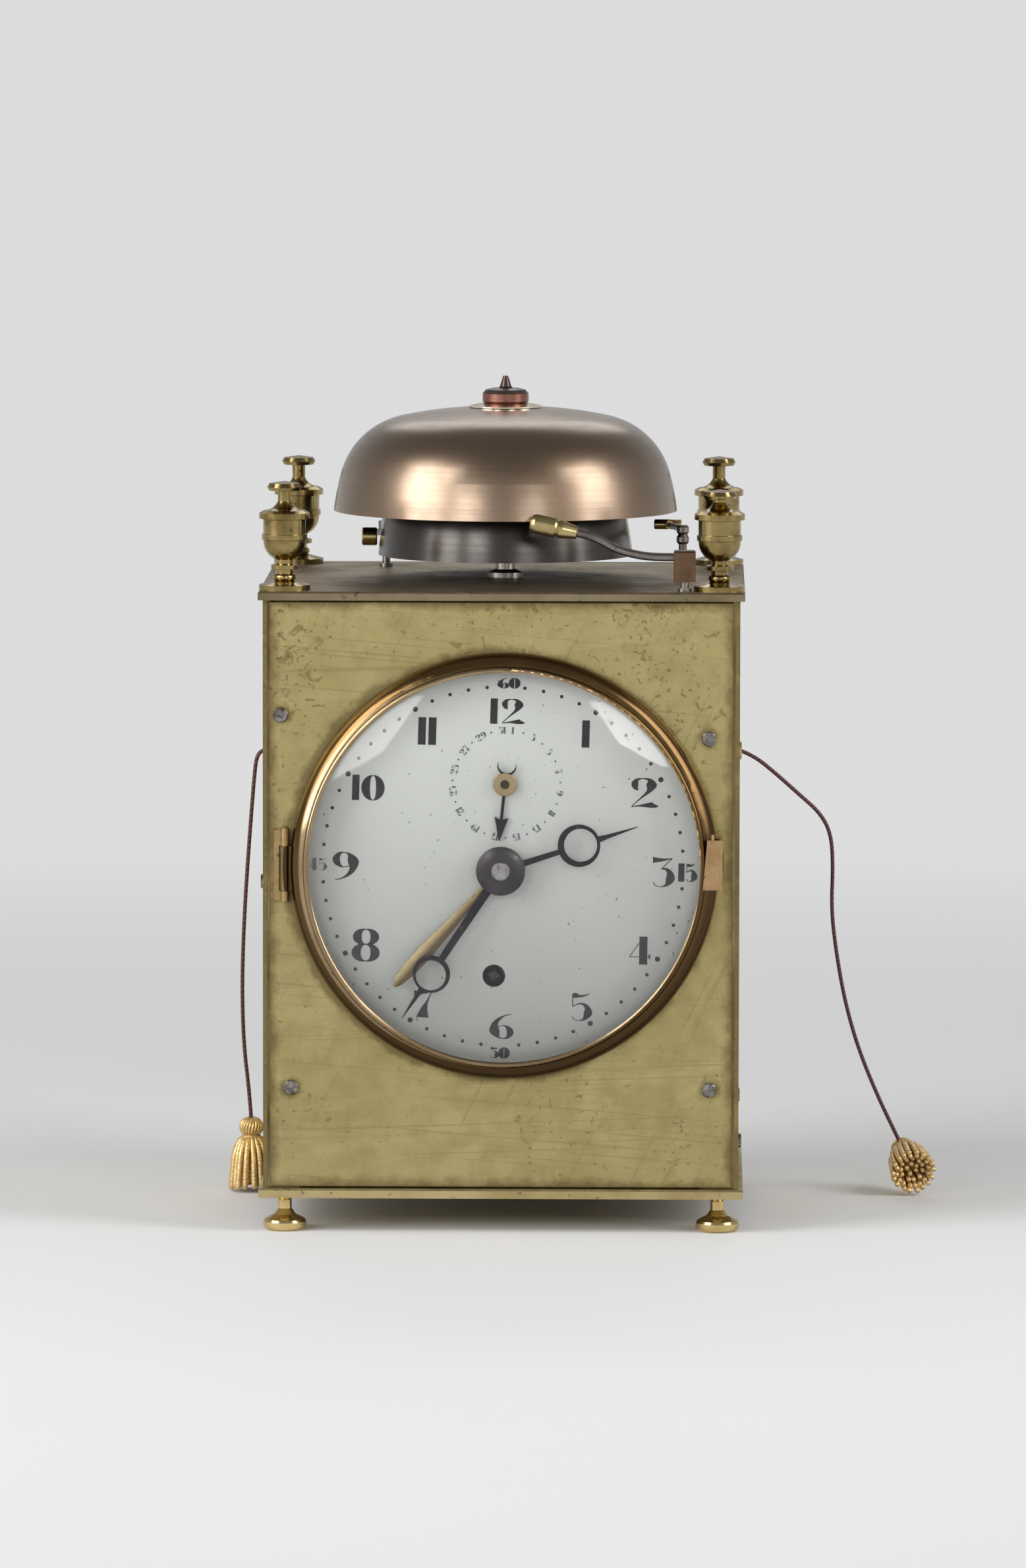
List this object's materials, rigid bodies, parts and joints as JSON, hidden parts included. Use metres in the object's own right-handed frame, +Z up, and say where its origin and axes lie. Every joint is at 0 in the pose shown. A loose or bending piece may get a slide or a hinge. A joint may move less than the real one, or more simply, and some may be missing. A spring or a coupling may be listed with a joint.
{
  "type": "travelling lantern clock",
  "caption": "Boxed brass travelling clock with urn finials, nested bells and hammers, hinged glazed bezel over an enamel dial, rear door, movement and tasselled cords.",
  "frame": {"origin": "on the floor, at the middle of the clock's outline from above, cords and tassels left out", "axes": "+X to the viewer's right, -Y towards the viewer (the dial's side), +Z up"},
  "size_m": [0.1995, 0.124, 0.2318],
  "materials": {
    "case_brass": "polished edges, aged",
    "panel_brass": "dull, aged, matte",
    "polished_brass": "polished",
    "bezel_brass": "polished, aged",
    "movement_brass": "brushed",
    "steel": "bright",
    "blued_steel": "dark blued",
    "bell_steel": "satin",
    "bell_bronze": "satin, aged",
    "copper": "satin",
    "glass": "clear",
    "enamel": "glossy white enamel",
    "cord": "twisted silk",
    "tassel_gold": "gilt thread"
  },
  "bodies": {
    "case": {"base_plate": "case_brass", "top_plate": "case_brass", "corner_posts": "case_brass", "left_side_panel": "panel_brass", "right_side_panel": "panel_brass", "front_panel": "panel_brass", "case_screws": "steel", "finials": "polished_brass", "feet": "polished_brass", "bell_post": "steel", "inner_bell": "bell_steel", "bell_spacer": "steel", "outer_bell": "bell_bronze", "bell_washer": "copper", "bell_nut": "copper", "bezel_hinge_leaf": "polished_brass", "bezel_hinge_pin": "steel", "dial": "enamel", "movement_front_plate": "movement_brass", "movement_rear_plate": "movement_brass", "movement_pillars": "movement_brass", "pendulum_cock": "movement_brass", "left_cord": "cord", "right_cord": "cord", "left_tassel": "tassel_gold", "right_tassel": "tassel_gold", "cord_eyelets": "polished_brass"},
    "rear_door": {"rear_door": "panel_brass"},
    "door_latch": {"door_latch": "polished_brass"},
    "strike_hammer": {"strike_hammer_arbor": "steel", "strike_hammer_hub": "copper", "strike_hammer_arm": "steel", "strike_hammer_head": "polished_brass"},
    "alarm_hammer": {"alarm_hammer_arm": "steel", "alarm_hammer_head": "polished_brass"},
    "repeat_hammer": {"repeat_hammer_arm": "steel", "repeat_hammer_head": "polished_brass"},
    "bezel": {"bezel_ring": "bezel_brass", "bezel_glass": "glass", "bezel_catch": "copper"},
    "minute_motion": {"centre_wheel": "movement_brass", "cannon_pinion": "steel", "minute_hand": "blued_steel", "hand_collet": "blued_steel", "hand_screw": "steel"},
    "minute_wheel": {"minute_wheel": "movement_brass"},
    "hour_motion": {"hour_wheel": "movement_brass", "hour_hand": "blued_steel"},
    "alarm_setting": {"alarm_hand": "polished_brass"},
    "date_motion": {"date_wheel": "movement_brass", "date_hand": "blued_steel"},
    "barrel": {"barrel": "movement_brass"},
    "winding_arbor": {"winding_arbor": "steel"},
    "click": {"ratchet_click": "steel"},
    "third_wheel": {"third_wheel": "movement_brass"},
    "escape_wheel": {"escape_wheel": "movement_brass"},
    "anchor": {"pallet_anchor": "steel"},
    "pendulum": {"pendulum": "polished_brass"},
    "alarm_pulley": {"alarm_pulley": "movement_brass"},
    "repeat_pulley": {"repeat_pulley": "movement_brass"}
  },
  "joints": [
    {"name": "bezel_swing", "type": "hinge", "parent": "case", "child": "bezel", "pos_m": [-0.0589, -0.05315, 0.10055], "axis": [0, 0, -1], "range_deg": [0, 110]},
    {"name": "rear_door_swing", "type": "hinge", "parent": "case", "child": "rear_door", "pos_m": [-0.06255, 0.05825, 0.0929], "axis": [0, 0, 1], "range_deg": [0, 105]},
    {"name": "door_latch_turn", "type": "hinge", "parent": "rear_door", "child": "door_latch", "pos_m": [0.0498, 0.05825, 0.0929], "axis": [0, 1, 0], "range_deg": [0, 90]},
    {"name": "strike_hammer_swing", "type": "hinge", "parent": "case", "child": "strike_hammer", "pos_m": [0.0498, -0.04865, 0.182], "axis": [0, 0, 1], "range_deg": [0, 14], "stiffness_Nm_per_rad": 0.01},
    {"name": "alarm_hammer_swing", "type": "hinge", "parent": "case", "child": "alarm_hammer", "pos_m": [-0.0342, 0.03985, 0.182], "axis": [0, 0, -1], "range_deg": [0, 16], "stiffness_Nm_per_rad": 0.01},
    {"name": "repeat_hammer_swing", "type": "hinge", "parent": "case", "child": "repeat_hammer", "pos_m": [0.0492, -0.00715, 0.182], "axis": [0, 0, 1], "range_deg": [0, 20], "stiffness_Nm_per_rad": 0.01},
    {"name": "minute_turn", "type": "hinge", "parent": "case", "child": "minute_motion", "pos_m": [0, -0.05665, 0.1002], "axis": [0, 1, 0], "continuous": true},
    {"name": "hour_turn", "type": "hinge", "parent": "case", "child": "hour_motion", "pos_m": [0, -0.05565, 0.1002], "axis": [0, 1, 0], "continuous": true},
    {"name": "minute_wheel_turn", "type": "hinge", "parent": "case", "child": "minute_wheel", "pos_m": [-0.01386, -0.04565, 0.0922], "axis": [0, 1, 0], "continuous": true},
    {"name": "barrel_turn", "type": "hinge", "parent": "case", "child": "barrel", "pos_m": [-0.0019, -0.03985, 0.071], "axis": [0, 1, 0], "continuous": true},
    {"name": "third_turn", "type": "hinge", "parent": "case", "child": "third_wheel", "pos_m": [0.016, -0.03985, 0.116], "axis": [0, 1, 0], "continuous": true},
    {"name": "escape_turn", "type": "hinge", "parent": "case", "child": "escape_wheel", "pos_m": [0, -0.03985, 0.13], "axis": [0, 1, 0], "continuous": true},
    {"name": "alarm_set_turn", "type": "hinge", "parent": "case", "child": "alarm_setting", "pos_m": [0, -0.05465, 0.1002], "axis": [0, 1, 0], "continuous": true},
    {"name": "date_turn", "type": "hinge", "parent": "case", "child": "date_motion", "pos_m": [0.0011, -0.05365, 0.1236], "axis": [0, 1, 0], "continuous": true},
    {"name": "winding_turn", "type": "hinge", "parent": "case", "child": "winding_arbor", "pos_m": [-0.0019, -0.05165, 0.071], "axis": [0, 1, 0], "continuous": true},
    {"name": "click_lift", "type": "hinge", "parent": "case", "child": "click", "pos_m": [0.0096, -0.04365, 0.074], "axis": [0, 1, 0], "range_deg": [0, 15], "stiffness_Nm_per_rad": 0.002, "springref_deg": -11.46},
    {"name": "pendulum_swing", "type": "hinge", "parent": "case", "child": "pendulum", "pos_m": [0, 0.01895, 0.1475], "axis": [0, 1, 0], "range_deg": [-4, 4]},
    {"name": "anchor_swing", "type": "hinge", "parent": "case", "child": "anchor", "pos_m": [0, -0.03985, 0.1475], "axis": [0, 1, 0], "range_deg": [-4.5, 4.5]},
    {"name": "alarm_pulley_turn", "type": "hinge", "parent": "case", "child": "alarm_pulley", "pos_m": [-0.037, 0.01085, 0.12045], "axis": [0, 1, 0], "continuous": true},
    {"name": "repeat_pulley_turn", "type": "hinge", "parent": "case", "child": "repeat_pulley", "pos_m": [0.037, 0.01085, 0.12045], "axis": [0, 1, 0], "continuous": true}
  ],
  "couplings": [
    {"joint": "hour_turn", "follows": "minute_turn", "ratio": 0.083333},
    {"joint": "minute_wheel_turn", "follows": "minute_turn", "ratio": -0.33333},
    {"joint": "barrel_turn", "follows": "minute_turn", "ratio": -0.16667},
    {"joint": "third_turn", "follows": "minute_turn", "ratio": -12},
    {"joint": "escape_turn", "follows": "minute_turn", "ratio": 132},
    {"joint": "anchor_swing", "follows": "pendulum_swing", "ratio": 1}
  ]
}
